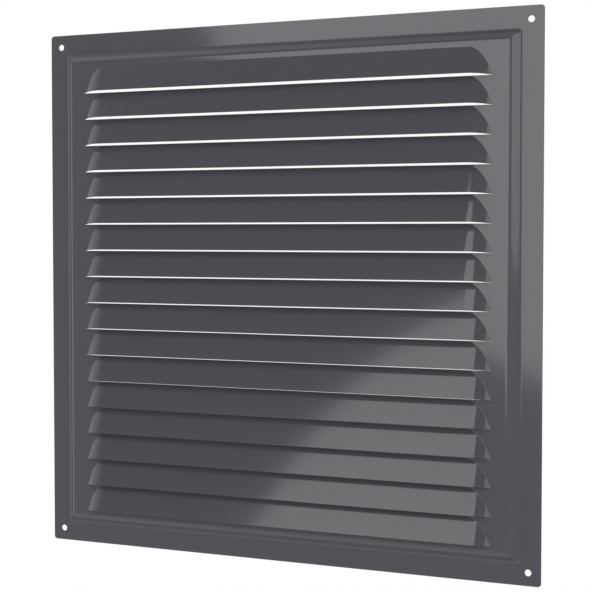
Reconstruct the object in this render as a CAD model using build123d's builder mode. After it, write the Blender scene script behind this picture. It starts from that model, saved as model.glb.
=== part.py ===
"""Square louvred ventilation grille, pressed from one sheet of painted steel.

The grille screws flat to a wall over an air opening. Its frame has the origin at the centre of the
flange's back face, the face that lies on the wall. +Z is up, and the front faces -Y.
"""
import os
from math import cos, radians, sin, tan

from build123d import *

# Plate, in millimetres
plate_width = 300.0
plate_height = 300.0
plate_corner_radius = 2.0
sheet_thickness = 0.5

# Screw holes, one in each corner of the flange
hole_diameter = 3.5
hole_inset = 7.0

# Raised panel: the flange ends where the panel's slope meets it
flange_width = 11.8
raise_height = 5.0
raise_angle = 45.0
bend_inside_radius = 2.0
foot_corner_radius = 2.2

# Louvres: each hood hinges out of the panel below the slit of the one above
louvre_pitch = 15.3
louvre_land = 0.3
louvre_tilt = 24.0
hood_length = 15.35
slit_gap = 0.3
louvre_side_margin = 7.75
hood_end_angle = 39.5
hood_end_radius = 17.5

# How far helper solids reach past the faces that they cut or join
overrun = 1.0

# The flat face of the raised panel, inside its bends
bend_outside_radius = bend_inside_radius + sheet_thickness
slope_run = raise_height / tan(radians(raise_angle))
bend_run = bend_outside_radius * tan(radians(raise_angle / 2))
panel_width = plate_width - 2 * (flange_width + slope_run + bend_run)
panel_height = plate_height - 2 * (flange_width + slope_run + bend_run)
panel_face = raise_height + sheet_thickness

# The block of louvres fills the panel's height and is centred on it
louvre_count = int(panel_height // louvre_pitch)
louvre_span = louvre_pitch - louvre_land
louvre_length = panel_width - 2 * louvre_side_margin
block_height = louvre_count * louvre_pitch - louvre_land
lowest_slit = -block_height / 2
slits = [(0, 0, lowest_slit + row * louvre_pitch) for row in range(louvre_count)]

# A hood's roof leans out from its crease to its lip: how high it stands over the slit, square to itself
hood_rise = louvre_span * sin(radians(louvre_tilt))
hood_run = louvre_span * cos(radians(louvre_tilt))
lip_out = hood_length * sin(radians(louvre_tilt))
lip_up = louvre_span - hood_length * cos(radians(louvre_tilt))

# Section plane square to a roof, through its slit, and the plane of the mouth, from the slit to the lip
slope_up = (0, sin(radians(louvre_tilt)), cos(radians(louvre_tilt)))
across = Plane(origin=(0, -panel_face, 0), x_dir=(-1, 0, 0), z_dir=slope_up)
mouth = Plane(origin=(0, -panel_face, 0), x_dir=(-1, 0, 0), z_dir=(0, lip_up - slit_gap, lip_out))

# Section planes at the plate's top and left edges, looking along it with its front upwards
top_end = Plane(origin=(0, 0, plate_height / 2), x_dir=(1, 0, 0), z_dir=(0, 0, -1))
left_end = Plane(origin=(-plate_width / 2, 0, 0), x_dir=(0, 0, 1), z_dir=(1, 0, 0))


def formed_face(setback):
    """All that lies behind a face of the sheet which is set back from the sheet's front."""
    flange = sheet_thickness - setback
    inset = setback * tan(radians(raise_angle / 2))
    foot_width = plate_width - 2 * (flange_width + inset)
    foot_height = plate_height - 2 * (flange_width + inset)
    corner = foot_corner_radius - inset
    corner_rise = corner * tan(radians(raise_angle))
    corner_x = foot_width / 2 - corner
    corner_z = foot_height / 2 - corner

    # What rounds off each corner of the panel's foot: a square nib around a cone
    with BuildPart() as nibs:
        with BuildSketch(Plane.XZ.offset(flange)):
            with Locations((corner_x, corner_z)):
                Rectangle(corner, corner, align=(Align.MIN, Align.MIN))
        extrude(amount=corner_rise)
        with Locations(Plane(origin=(corner_x, -flange, corner_z), z_dir=(0, -1, 0))):
            Cone(corner, 0, corner_rise, align=(Align.CENTER, Align.CENTER, Align.MIN), mode=Mode.SUBTRACT)
        mirror(about=Plane.YZ)
        mirror(about=Plane.XY)

    # Two crossed bars with sloping sides leave the panel with mitred corners
    with BuildPart() as face:
        with BuildSketch(top_end):
            with Locations((0, flange)):
                Trapezoid(foot_width, raise_height, raise_angle, align=(Align.CENTER, Align.MIN))
        extrude(amount=plate_height)
        with BuildSketch(left_end):
            with Locations((0, flange)):
                Trapezoid(foot_height, raise_height, raise_angle, align=(Align.CENTER, Align.MIN))
        extrude(amount=plate_width, mode=Mode.INTERSECT)
        add(nibs.part, mode=Mode.SUBTRACT)

        with BuildSketch(Plane.XZ.offset(flange)):
            Rectangle(plate_width + 2 * overrun, plate_height + 2 * overrun)
        extrude(amount=-overrun)
        panel_rim = face.faces().filter_by(Axis.Y).sort_by(Axis.Y)[0].edges()
        fillet(panel_rim, bend_outside_radius - setback)
        foot_rim = face.faces().filter_by(Axis.Y).sort_by(Axis.Y)[1].inner_wires()[0].edges()
        fillet(foot_rim, bend_inside_radius + setback)
    return face.part


def hood_arch(setback):
    """Cross-section of a hood: a long flat roof that rounds down to a straight ramp at each end."""
    end_inset = setback * tan(radians(hood_end_angle / 2))
    roof = hood_rise - setback
    sill = -setback - overrun
    shoulder = louvre_length / 2 - end_inset - hood_rise / tan(radians(hood_end_angle))
    toe = shoulder + (roof - sill) / tan(radians(hood_end_angle))
    with BuildSketch() as arch:
        with BuildLine():
            roof_line = FilletPolyline(
                (-toe, sill), (-shoulder, roof), (shoulder, roof), (toe, sill),
                radius=hood_end_radius - setback,
            )
            Line(roof_line @ 1, roof_line @ 0)
        make_face()
    return arch.sketch


# The outside of one hood, and the throat of air under it, both cut off at the mouth
with BuildPart() as hood:
    with BuildSketch(across.offset(-hood_rise)):
        add(hood_arch(0))
    extrude(amount=hood_rise + hood_run + sheet_thickness)
    split(bisect_by=mouth.offset(slit_gap), keep=Keep.TOP)

with BuildPart() as throat:
    with BuildSketch(across.offset(-hood_rise)):
        add(hood_arch(sheet_thickness))
    extrude(amount=hood_rise + hood_run + sheet_thickness)
    split(bisect_by=mouth, keep=Keep.TOP)

# The sheet: its front is formed first, then the back is hollowed out to the sheet's thickness
with BuildPart() as grille:
    add(formed_face(0))
    with Locations(*slits):
        add(hood.part)
    add(formed_face(sheet_thickness), mode=Mode.SUBTRACT)
    with Locations(*slits):
        add(throat.part, mode=Mode.SUBTRACT)

    with BuildSketch(Plane.XZ):
        RectangleRounded(plate_width, plate_height, plate_corner_radius)
        with GridLocations(plate_width - 2 * hole_inset, plate_height - 2 * hole_inset, 2, 2):
            Circle(hole_diameter / 2, mode=Mode.SUBTRACT)
    extrude(amount=panel_face + lip_out + overrun, mode=Mode.INTERSECT)

grille.part.label = "grille"

os.makedirs("parts", exist_ok=True)
export_step(grille.part, "parts/grille.step")
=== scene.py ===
# %% [markdown]
# A pressed steel ventilation grille
#
# The grille is one sheet of steel, pressed, lanced and painted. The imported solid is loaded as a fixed
# frame, and this lesson models the same sheet again at the fineness of a photograph, with smooth bends
# and soft painted edges. Then it paints the sheet and lights it as a product photographer would.

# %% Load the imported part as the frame
from math import cos, pi, radians, sin, tan

import bmesh
import bpy
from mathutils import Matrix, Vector


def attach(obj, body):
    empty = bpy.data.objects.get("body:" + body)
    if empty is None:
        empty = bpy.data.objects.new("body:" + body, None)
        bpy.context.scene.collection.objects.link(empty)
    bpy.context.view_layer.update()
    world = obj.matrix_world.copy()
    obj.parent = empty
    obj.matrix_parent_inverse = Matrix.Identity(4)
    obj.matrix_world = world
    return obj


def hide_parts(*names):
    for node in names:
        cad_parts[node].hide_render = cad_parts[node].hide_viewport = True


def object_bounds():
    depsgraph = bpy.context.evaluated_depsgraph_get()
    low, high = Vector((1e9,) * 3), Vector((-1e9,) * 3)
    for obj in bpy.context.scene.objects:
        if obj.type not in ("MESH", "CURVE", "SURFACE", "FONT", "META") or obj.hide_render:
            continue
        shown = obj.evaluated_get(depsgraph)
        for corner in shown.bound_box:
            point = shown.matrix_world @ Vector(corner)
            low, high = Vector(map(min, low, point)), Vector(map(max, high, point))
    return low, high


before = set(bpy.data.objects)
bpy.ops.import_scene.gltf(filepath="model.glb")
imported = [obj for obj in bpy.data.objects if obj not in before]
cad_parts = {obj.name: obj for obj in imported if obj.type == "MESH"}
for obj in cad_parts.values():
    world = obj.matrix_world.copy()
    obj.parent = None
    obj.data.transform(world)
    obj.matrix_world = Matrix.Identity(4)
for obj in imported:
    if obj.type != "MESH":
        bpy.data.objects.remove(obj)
cad_low, cad_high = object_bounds()
print("packed part, mm:", [round(1000 * length, 2) for length in cad_high - cad_low])

# %% [markdown]
# Sizes of the pressing
#
# A press tool is drawn from a few numbers, and so is this model, in metres. They are the sizes of the solid,
# except that both bends are a little wider and the slits end narrower, as in the photograph. The margin
# beside the louvres is reckoned from the wider bend, so the hoods end where the solid's do. Plate and
# panel are square and centred on the frame's origin, which is on the wall behind the sheet. The front of
# the grille faces -Y and up is +Z.

# %% Sizes
MM = 0.001
plate_half = cad_high.x
sheet_thickness = 0.5 * MM

flange_width = 11.8 * MM
raise_height = 5.0 * MM
raise_angle = radians(45)
brow_radius = 3.3 * MM
foot_radius = 2.3 * MM
foot_corner_radius = 2.2 * MM

louvre_count = 17
louvre_pitch = 15.3 * MM
louvre_span = 15.0 * MM
louvre_tilt = radians(24)
hood_length = 15.35 * MM
slit_end = 0.03 * MM
hood_end_angle = radians(39.5)
hood_end_radius = 17.5 * MM
louvre_side_margin = 7.42 * MM

flange_front = -sheet_thickness
panel_front = -sheet_thickness - raise_height
brow_run = brow_radius * tan(raise_angle / 2)
foot_run = foot_radius * tan(raise_angle / 2)
foot_half = plate_half - flange_width
panel_half = foot_half - raise_height / tan(raise_angle) - brow_run
lowest_slit = -(louvre_count * louvre_pitch - (louvre_pitch - louvre_span)) / 2
print("flat panel, mm:", round(2000 * panel_half, 2), "lowest slit at z, mm:", round(1000 * lowest_slit, 2))

# %% [markdown]
# Tools for picking
#
# By hand one would click the edges to work on. In a script they are picked by where they lie, so one
# small function selects every vertex, edge or face whose corners all pass a test.

# %% Pick by place
CLOSE = 0.004 * MM


def near(value, place):
    return abs(value - place) < CLOSE


def pick(kind, test, open_only=False):
    bpy.ops.mesh.select_mode(type=kind)
    bpy.ops.mesh.select_all(action="DESELECT")
    mesh = bmesh.from_edit_mesh(bpy.context.object.data)
    elements = {"VERT": mesh.verts, "EDGE": mesh.edges, "FACE": mesh.faces}[kind]
    count = 0
    for element in elements:
        corners = [element] if kind == "VERT" else element.verts
        if open_only and len(element.link_faces) > 1:
            continue
        if all(test(corner.co) for corner in corners):
            element.select_set(True)
            count += 1
    bmesh.update_edit_mesh(bpy.context.object.data)
    return count


def extrude_by(x=0.0, y=0.0, z=0.0):
    bpy.ops.mesh.extrude_region_move(TRANSFORM_OT_translate={"value": (x, y, z)})


# %% [markdown]
# One louvre hood
#
# On the real grille a punch lances the sheet along a slit and pushes a hood out above it. The hood could
# be sculpted or lofted, but the press bends sheet, so bending is what the model does too. The flat roof
# of the hood starts as a plane in the panel, its end edge is spun round a bend, and the bend runs out in
# a straight ramp. Then the whole hood tilts out about its crease, and two bisecting planes trim it: one
# along the panel, which leaves the curved outline of the hood's end, and one along the mouth, which
# leaves the lip. Only the right half is made, because a mirror gives the other.

# %% The hood's flat roof
hood_rise = louvre_span * sin(louvre_tilt)
shoulder = panel_half - louvre_side_margin - hood_rise / tan(hood_end_angle)
shoulder -= hood_end_radius * tan(hood_end_angle / 2)
crease = lowest_slit + louvre_span
trim = 3.0 * MM

bpy.ops.object.select_all(action="DESELECT")
bpy.ops.mesh.primitive_plane_add(size=1, rotation=(radians(90), 0, 0))
bpy.ops.object.transform_apply(rotation=True)
sheet = bpy.context.object
sheet.name = "pressed_sheet"
sheet.data.name = "pressed_sheet"

bpy.ops.object.mode_set(mode="EDIT")
roof_bottom = crease - hood_length - trim
roof_top = crease + trim
bpy.ops.transform.resize(value=(shoulder, 1, roof_top - roof_bottom))
bpy.ops.transform.translate(value=(shoulder / 2, panel_front, (roof_top + roof_bottom) / 2))
print("roof, mm:", round(1000 * shoulder, 2), "by", round(1000 * (roof_top - roof_bottom), 2))

# %% Its rounded end, its ramp and its tilt
bend_steps = 16
pick("EDGE", lambda co: near(co.x, shoulder))
bpy.ops.mesh.spin(
    steps=bend_steps, angle=hood_end_angle, axis=(0, 0, -1),
    center=(shoulder, panel_front + hood_end_radius, 0),
)
ramp = 12 * MM
extrude_by(x=ramp * cos(hood_end_angle), y=ramp * sin(hood_end_angle))

bpy.ops.mesh.select_all(action="SELECT")
bpy.ops.transform.rotate(value=louvre_tilt, orient_axis="X", center_override=(0, panel_front, crease))
bpy.ops.mesh.bisect(plane_co=(0, panel_front, 0), plane_no=(0, 1, 0), clear_outer=True, threshold=CLOSE / 10)

lip_out = hood_length * sin(louvre_tilt)
lip_up = louvre_span - hood_length * cos(louvre_tilt)
bpy.ops.mesh.select_all(action="SELECT")
bpy.ops.mesh.bisect(
    plane_co=(0, panel_front, lowest_slit + slit_end), plane_no=(0, lip_up - slit_end, lip_out),
    clear_inner=True, threshold=CLOSE / 10,
)

mesh = bmesh.from_edit_mesh(sheet.data)
lip_reach = min(corner.co.y for corner in mesh.verts)
toe = max(corner.co.x for corner in mesh.verts)
print("lip at y, mm:", round(1000 * lip_reach, 3), "packed:", round(1000 * cad_low.y, 3))
print("toe at x, mm:", round(1000 * toe, 3))

# %% [markdown]
# One row of the panel
#
# Round the hood lies a strip of flat panel, one louvre pitch high. The hood's outline is extruded and
# pressed flat against the top of the strip, which leaves one clean quad above each piece of the outline.
# The strip then runs out sideways to the bend of the panel. The lip stays free of the next strip below:
# that gap is the slit, and it closes to a hair at the toe of the hood, where the cut of the punch ends.
# Where the ramp runs into the panel the sheet is drawn, not folded, so a small round follows the outline.

# %% The flat strip round the hood
guard = 0.45 * MM
row_top = lowest_slit + louvre_pitch
pick("EDGE", lambda co: near(co.y, panel_front))
extrude_by()
bpy.ops.transform.resize(value=(1, 1, 0), center_override=(0, panel_front, row_top))

pick("VERT", lambda co: near(co.x, toe) and co.z < crease)
bpy.ops.mesh.extrude_vertices_move(TRANSFORM_OT_translate={"value": (0, 0, -slit_end)})
side_edges = pick("EDGE", lambda co: near(co.x, toe))
extrude_by(x=panel_half - guard - toe)
extrude_by(x=guard)

outline_round = 0.14 * MM
round_top = crease - 0.4 * MM
pick("EDGE", lambda co: near(co.y, panel_front) and co.z < round_top and co.x < toe - CLOSE)
bpy.ops.mesh.bevel(offset=outline_round, segments=4, affect="EDGES", clamp_overlap=False)
bpy.ops.object.mode_set(mode="OBJECT")
print("half row:", len(sheet.data.polygons), "faces, run out from", side_edges, "edges at the toe")

# %% [markdown]
# Seventeen rows
#
# Every row of the press tool is the same, so the half row is mirrored and then repeated with an Array
# modifier. Rows meet only beside the slits, so merging welds them there and leaves the slits open.


# %% Mirror and repeat
def apply_modifier(kind, **settings):
    modifier = sheet.modifiers.new(kind.lower(), kind)
    for name, value in settings.items():
        setattr(modifier, name, value)
    bpy.ops.object.modifier_apply(modifier=modifier.name)


apply_modifier("MIRROR", use_clip=True, merge_threshold=CLOSE)
apply_modifier(
    "ARRAY", count=louvre_count, use_relative_offset=False, use_constant_offset=True,
    constant_offset_displace=(0, 0, louvre_pitch), use_merge_vertices=True, merge_threshold=CLOSE,
)
print("rows:", louvre_count, "faces:", len(sheet.data.polygons))

# %% The plain strips above and below the rows
bpy.ops.object.mode_set(mode="EDIT")
block_top = lowest_slit + louvre_count * louvre_pitch
pick("EDGE", lambda co: near(co.z, block_top), open_only=True)
extrude_by(z=panel_half - guard - block_top)
extrude_by(z=guard)
pick("EDGE", lambda co: near(co.z, lowest_slit), open_only=True)
extrude_by(z=guard - panel_half - lowest_slit)
pick("EDGE", lambda co: near(abs(co.x), toe) and co.z < lowest_slit + CLOSE)
bpy.ops.mesh.edge_face_add()
pick("EDGE", lambda co: near(co.z, guard - panel_half), open_only=True)
extrude_by(z=-guard)

# %% [markdown]
# The raised edge of the panel
#
# The panel stands 5 mm proud of the flange on a slope of 45 degrees, with a bend at the brow and a
# bend at the foot. Extruding the panel's rim outwards ring by ring follows the press: each ring is the
# last one, grown and set back a little, so the four corners mitre by themselves.

# %% Brow bend and slope
bend_rings = 8


def ring(half, depth):
    """Extrude the selected square rim to a new half width and a new depth."""
    picked = [corner.co for corner in bmesh.from_edit_mesh(sheet.data).verts if corner.select]
    old_half = max(co.x for co in picked)
    old_depth = picked[0].y
    extrude_by(y=depth - old_depth)
    bpy.ops.transform.resize(value=(half / old_half, 1, half / old_half), center_override=(0, 0, 0))


pick("EDGE", lambda co: near(abs(co.x), panel_half) or near(abs(co.z), panel_half), open_only=True)
for step in range(1, bend_rings + 1):
    turn = raise_angle * step / bend_rings
    ring(panel_half + brow_radius * sin(turn), panel_front + brow_radius * (1 - cos(turn)))

split_half = foot_half - foot_corner_radius
split_depth = flange_front - foot_corner_radius * tan(raise_angle)
ring(split_half - guard, split_depth - guard * tan(raise_angle))
ring(split_half, split_depth)

# %% [markdown]
# The rounded foot
#
# Near the wall the mitre opens into a small cone, because a press cannot fold a sharp inside corner.
# Each side is therefore extruded by itself down the foot bend, and the bend's profile at its end is spun a
# quarter turn to reach the next side.

# %% Foot bend, corners and flange
foot_profile = []
for step in range(bend_rings + 1):
    turn = raise_angle * (1 - step / bend_rings)
    foot_profile.append((
        foot_half + foot_run - foot_radius * sin(turn),
        flange_front - foot_radius * (1 - cos(turn)),
    ))
rim_width = 0.6 * MM
foot_profile.append((plate_half - rim_width, flange_front))
foot_profile.append((plate_half, flange_front))

sides = [(1, 0), (0, 1), (-1, 0), (0, -1)]
for across, up in sides:
    def on_side(co):
        return near(co.x * across + co.z * up, split_half) and near(co.y, split_depth)

    pick("EDGE", on_side, open_only=True)
    half, depth = split_half, split_depth
    for next_half, next_depth in foot_profile:
        grow = next_half - half
        extrude_by(x=across * grow, y=next_depth - depth, z=up * grow)
        half, depth = next_half, next_depth

foot_edge = foot_profile[-3][0]
corner_steps = 12
for (across, up), (next_across, next_up) in zip(sides, sides[1:] + sides[:1]):
    corner_x = split_half * (across + next_across)
    corner_z = split_half * (up + next_up)

    def on_profile(co):
        reach = co.x * across + co.z * up
        sideways = co.x * next_across + co.z * next_up
        return near(sideways, split_half) and split_half - CLOSE < reach < foot_edge + CLOSE

    picked = pick("EDGE", on_profile, open_only=True)
    bpy.ops.mesh.spin(
        steps=corner_steps, angle=radians(90), axis=(0, 1, 0), center=(corner_x, 0, corner_z)
    )
    print("corner", round(1000 * corner_x), round(1000 * corner_z), "profile edges", picked)
bpy.ops.mesh.select_all(action="SELECT")
bpy.ops.mesh.remove_doubles(threshold=CLOSE)

# %% [markdown]
# Plate corners and screw holes
#
# Each corner of the flange is still an empty square. Its outer rim is drawn by extruding and spinning one
# short edge round the plate's corner, a ring is drawn round the screw hole, and a fill closes the flat
# patch between them. Rim and ring are bands of neat quads, so that their edges can be softened later.

# %% Close the corners of the flange
plate_corner_radius = 2.0 * MM
hole_radius = 1.75 * MM
hole_inset = 7.0 * MM
ring_width = 0.5 * MM
hole_steps = 48
corner_half = plate_half - plate_corner_radius
straight = corner_half - split_half
for (across, up), (next_across, next_up) in zip(sides, sides[1:] + sides[:1]):
    sign_x, sign_z = across + next_across, up + next_up

    def strip_end(co):
        reach = co.x * across + co.z * up
        sideways = co.x * next_across + co.z * next_up
        return reach > plate_half - rim_width - CLOSE and near(sideways, split_half)

    def in_corner(co):
        return min(co.x * sign_x, co.z * sign_z) > split_half - CLOSE and near(co.y, flange_front)

    def on_patch_rim(co):
        from_hole = Vector((co.x, 0, co.z)) - hole
        inside = max(co.x * sign_x, co.z * sign_z) < plate_half - rim_width + CLOSE
        return in_corner(co) and inside and from_hole.length > hole_radius + ring_width / 2

    pick("EDGE", strip_end, open_only=True)
    extrude_by(x=next_across * straight, z=next_up * straight)
    bpy.ops.mesh.spin(
        steps=corner_steps, angle=radians(90), axis=(0, 1, 0),
        center=(sign_x * corner_half, 0, sign_z * corner_half),
    )
    extrude_by(x=-across * straight, z=-up * straight)
    hole = Vector((sign_x, 0, sign_z)) * (plate_half - hole_inset)
    bpy.ops.mesh.primitive_circle_add(
        vertices=hole_steps, radius=hole_radius, rotation=(radians(90), 0, 0),
        location=(hole.x, flange_front, hole.z),
    )
    extrude_by()
    grow = (hole_radius + ring_width) / hole_radius
    bpy.ops.transform.resize(value=(grow, 1, grow), center_override=(hole.x, flange_front, hole.z))
    bpy.ops.mesh.select_all(action="SELECT")
    bpy.ops.mesh.remove_doubles(threshold=CLOSE)
    rim = pick("EDGE", on_patch_rim, open_only=True)
    bpy.ops.mesh.fill(use_beauty=True)
    print("corner patch drawn inside", rim, "edges")

# %% [markdown]
# From a surface to a sheet
#
# Everything so far is the painted front. Solidify gives it the steel's 0.5 mm towards the wall, the way
# a sheet has the same thickness in every bend. At each toe the back corner of the sheet is levelled with
# the front one, so that the slit ends square. A narrow bevel then breaks the sheared edges, because paint
# creeps round them, and weighted normals keep the large flats truly flat beside those small bevels.

# %% Thickness and soft edges
fold_angle = radians(15)
shear_angle = radians(70)
finish_angle = radians(25)
edge_round = 0.12 * MM
lip_end = toe - 1.5 * MM

bpy.ops.mesh.select_all(action="SELECT")
bpy.ops.mesh.normals_make_consistent(inside=False)
mesh = bmesh.from_edit_mesh(sheet.data)
if sum(face.normal.y * face.calc_area() for face in mesh.faces) > 0:
    bpy.ops.mesh.flip_normals()
bpy.ops.object.mode_set(mode="OBJECT")
bpy.ops.object.shade_smooth_by_angle(angle=fold_angle)

front_count = len(sheet.data.vertices)
apply_modifier("SOLIDIFY", thickness=sheet_thickness, offset=-1, use_even_offset=True)

mesh = bmesh.new()
mesh.from_mesh(sheet.data)
corners = list(mesh.verts)
levelled = 0
for front, back in zip(corners[:front_count], corners[front_count:]):
    if near(abs(front.co.x), toe) and near((front.co.z - lowest_slit) % louvre_pitch, slit_end):
        back.co.z = front.co.z
        levelled += 1
print("toe corners levelled:", levelled)

soften = mesh.edges.layers.float.new("bevel_weight_edge")
softened = 0
for edge in mesh.edges:
    on_flange = all(corner.co.y > flange_front - CLOSE for corner in edge.verts)
    on_slit = all(abs(corner.co.x) < lip_end for corner in edge.verts)
    if edge.calc_face_angle(0) > shear_angle and (on_flange or on_slit):
        edge[soften] = 1.0
        softened += 1
mesh.to_mesh(sheet.data)
mesh.free()
apply_modifier("BEVEL", width=edge_round, segments=2, limit_method="WEIGHT", use_clamp_overlap=False)
bpy.ops.object.shade_smooth_by_angle(angle=finish_angle, keep_sharp_edges=True)
apply_modifier("WEIGHTED_NORMAL", keep_sharp=True)
print("softened edges:", softened)

mesh = bmesh.new()
mesh.from_mesh(sheet.data)
open_edges = sum(not edge.is_manifold for edge in mesh.edges)
triangles = sum(len(face.verts) - 2 for face in mesh.faces)
print("sheet:", triangles, "triangles,", open_edges, "open edges,", round(1e9 * mesh.calc_volume()), "mm3")
mesh.free()

# %% [markdown]
# Graphite enamel
#
# The sheet is sprayed with grey enamel and stoved. The eye gets three things from that: a dark, slightly
# cold grey body, a clear gloss that mirrors the lamps with nearly crisp edges, and a faint orange peel
# where the wet paint levelled out. Metal flake or scratches would be easy to add, but the grille is new and
# plain, so only those three are made.

# %% Helpers for colours and nodes


def linear(code):
    """Linear colour of an sRGB hex code such as #4b4d51."""
    channels = [int(code[start:start + 2], 16) / 255 for start in (1, 3, 5)]
    return [c / 12.92 if c <= 0.04045 else ((c + 0.055) / 1.055) ** 2.4 for c in channels] + [1.0]


def add_node(tree, kind, inputs=None, **settings):
    """Add a node with its settings, and give its inputs values or links."""
    node = tree.nodes.new(kind)
    for name, value in settings.items():
        setattr(node, name, value)
    for socket, value in (inputs or {}).items():
        if isinstance(value, bpy.types.NodeSocket):
            tree.links.new(value, node.inputs[socket])
        else:
            node.inputs[socket].default_value = value
    return node


# %% The enamel
peel_width = 2.0 * MM
peel_height = 0.002 * MM
cloud_width = 45 * MM
cloud_low, cloud_high = 0.3, 0.7
gloss_low, gloss_high = 0.07, 0.09

enamel = bpy.data.materials.new("graphite_enamel")
enamel.use_nodes = True
tree = enamel.node_tree
tree.nodes.clear()
place = add_node(tree, "ShaderNodeTexCoord").outputs["Object"]
clouds = add_node(tree, "ShaderNodeTexNoise", {"Vector": place, "Scale": 1 / cloud_width, "Detail": 3.0})
peel = add_node(tree, "ShaderNodeTexNoise", {"Vector": place, "Scale": 1 / peel_width, "Detail": 2.0})
body = add_node(
    tree, "ShaderNodeMix", {"Factor": clouds.outputs["Fac"], 6: linear("#4b4d51"), 7: linear("#4c4e52")},
    data_type="RGBA",
)
gloss = add_node(
    tree, "ShaderNodeMapRange",
    {
        "Value": clouds.outputs["Fac"], "From Min": cloud_low, "From Max": cloud_high,
        "To Min": gloss_low, "To Max": gloss_high,
    },
)
skin = add_node(
    tree, "ShaderNodeBump", {"Height": peel.outputs["Fac"], "Strength": 1.0, "Distance": peel_height}
)
paint = add_node(
    tree, "ShaderNodeBsdfPrincipled",
    {
        "Base Color": body.outputs[2], "Roughness": gloss.outputs["Result"], "IOR": 1.5,
        "Normal": skin.outputs["Normal"],
    },
)
add_node(tree, "ShaderNodeOutputMaterial", {"Surface": paint.outputs["BSDF"]})
sheet.data.materials.append(enamel)
print("enamel nodes:", len(tree.nodes))

# %% [markdown]
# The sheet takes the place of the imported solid
#
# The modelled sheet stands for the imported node, which stays hidden for collision. There are no joints, so
# the sheet rides on the one body there is.

# %% Ride and replace
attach(sheet, "root")
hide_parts("grille")

# %% [markdown]
# The studio
#
# The grille hangs in the air of a white studio, about as high over the floor as a wall vent would sit. The
# floor is pale. The camera finds white wherever it looks past the grille, and so do mirror and glass rays
# that run on behind it. In front and overhead the room is dimmer, which is what keeps a glossy grey dark.
# The room is washed with light at the left, for the slope above the panel and the left ends of the hoods
# to mirror, and the floor gives back a faint glow from below.

# %% Pale floor
floor_level = -0.9
floor_width = 5
floor_glow = 0.10
floor_seen = 0.65

bpy.ops.object.select_all(action="DESELECT")
bpy.ops.mesh.primitive_plane_add(size=floor_width, location=(0, 0, floor_level))
floor = bpy.context.object
floor.name = "studio_floor"

pale_floor = bpy.data.materials.new("pale_studio_floor")
pale_floor.use_nodes = True
tree = pale_floor.node_tree
tree.nodes.clear()
path = add_node(tree, "ShaderNodeLightPath")
glow = add_node(
    tree, "ShaderNodeMapRange",
    {"Value": path.outputs["Is Camera Ray"], "To Min": floor_glow, "To Max": floor_seen},
)
pale = add_node(tree, "ShaderNodeBsdfDiffuse", {"Color": linear("#e6e6e6")})
white = add_node(tree, "ShaderNodeEmission", {"Color": linear("#ffffff"), "Strength": glow.outputs[0]})
both = add_node(tree, "ShaderNodeAddShader", {0: pale.outputs[0], 1: white.outputs[0]})
add_node(tree, "ShaderNodeOutputMaterial", {"Surface": both.outputs[0]})
floor.data.materials.append(pale_floor)

# %% White air behind, dimmer room in front
room_level = 0.55
room_lean = (0.0, 0.20, -0.423)
wash_side = (-0.90, 0.30, 0.30)
wash_start, wash_full = 0.50, 0.80
wash_level = 0.66
backdrop_start, backdrop_full = 0.12, 0.40

studio_air = bpy.data.worlds.new("studio_air")
bpy.context.scene.world = studio_air
studio_air.use_nodes = True
tree = studio_air.node_tree
tree.nodes.clear()
towards = add_node(tree, "ShaderNodeTexCoord").outputs["Generated"]
along = add_node(tree, "ShaderNodeSeparateXYZ", {"Vector": towards})
lean = add_node(
    tree, "ShaderNodeVectorMath", {0: towards, 1: room_lean}, operation="DOT_PRODUCT",
)
dim = add_node(tree, "ShaderNodeMath", {0: lean.outputs["Value"], 1: room_level}, operation="ADD")
leftward = add_node(
    tree, "ShaderNodeVectorMath", {0: towards, 1: wash_side}, operation="DOT_PRODUCT",
)
wash = add_node(
    tree, "ShaderNodeMapRange",
    {
        "Value": leftward.outputs["Value"], "From Min": wash_start, "From Max": wash_full,
        "To Min": 0.0, "To Max": wash_level,
    },
)
room = add_node(tree, "ShaderNodeMath", {0: dim.outputs[0], 1: wash.outputs[0]}, operation="ADD")
backdrop = add_node(
    tree, "ShaderNodeMapRange",
    {"Value": along.outputs["Y"], "From Min": backdrop_start, "From Max": backdrop_full},
)
path = add_node(tree, "ShaderNodeLightPath")
mirror = add_node(
    tree, "ShaderNodeMath",
    {0: path.outputs["Is Glossy Ray"], 1: path.outputs["Is Transmission Ray"]}, operation="MAXIMUM",
)
behind = add_node(
    tree, "ShaderNodeMath", {0: mirror.outputs[0], 1: backdrop.outputs[0]},
    operation="MULTIPLY",
)
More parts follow.
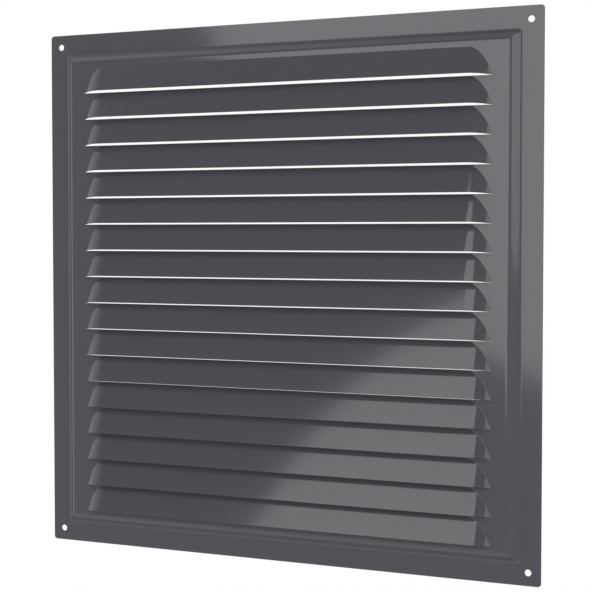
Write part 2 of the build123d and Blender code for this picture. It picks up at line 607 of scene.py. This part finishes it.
seen = add_node(
    tree, "ShaderNodeMath", {0: path.outputs["Is Camera Ray"], 1: behind.outputs[0]}, operation="MAXIMUM",
)
strength = add_node(
    tree, "ShaderNodeMix", {0: seen.outputs[0], 2: room.outputs[0], 3: 1.0}, data_type="FLOAT",
)
air = add_node(
    tree, "ShaderNodeBackground", {"Color": linear("#ffffff"), "Strength": strength.outputs[0]},
)
add_node(tree, "ShaderNodeOutputWorld", {"Surface": air.outputs[0]})

# %% [markdown]
# Lamps
#
# A glossy dark grille is lit by what it mirrors. One large round softbox stands in front of it, a little
# above, and its disc slides over the rows as slanting bright patches. A second one at the right catches
# the sloping edge of the panel and the small ramps at the ends of the hoods.

# %% Softboxes
softbox_width = 2.0


def softbox(name, azimuth, elevation, distance, radiance):
    """A round lamp that faces the grille. Azimuth runs from the front to the right, in degrees."""
    turn, lift = radians(azimuth), radians(elevation)
    place = distance * Vector((sin(turn) * cos(lift), -cos(turn) * cos(lift), sin(lift)))
    bpy.ops.object.light_add(type="AREA", location=place)
    lamp = bpy.context.object
    lamp.name = name
    lamp.rotation_euler = (-place).to_track_quat("-Z", "Y").to_euler()
    lamp.visible_camera = False
    lamp.data.shape = "DISK"
    lamp.data.size = softbox_width
    area = pi / 4 * softbox_width ** 2
    lamp.data.energy = pi * area * radiance
    print(name, "at", [round(value, 2) for value in place], "m,", round(lamp.data.energy, 1), "W")


softbox("round_softbox", azimuth=-0.28, elevation=20.1, distance=1.795, radiance=2.2541)
softbox("right_softbox", azimuth=96.5, elevation=18.6, distance=1.8, radiance=1.4923)

# %% [markdown]
# Camera
#
# The camera stands a little to the right of the grille at about arm's length, with a short telephoto lens.

# %% Camera and view
camera_place = (0.3595, -0.7514, 0.0330)
camera_tilt = radians(87.627)
camera_turn = radians(24.951)

bpy.ops.object.camera_add(location=camera_place, rotation=(camera_tilt, 0, camera_turn))
camera = bpy.context.object
camera.name = "product_camera"
camera.data.lens = 91.18
camera.data.sensor_width = 36
bpy.context.scene.camera = camera
bpy.context.scene.view_settings.view_transform = "Standard"
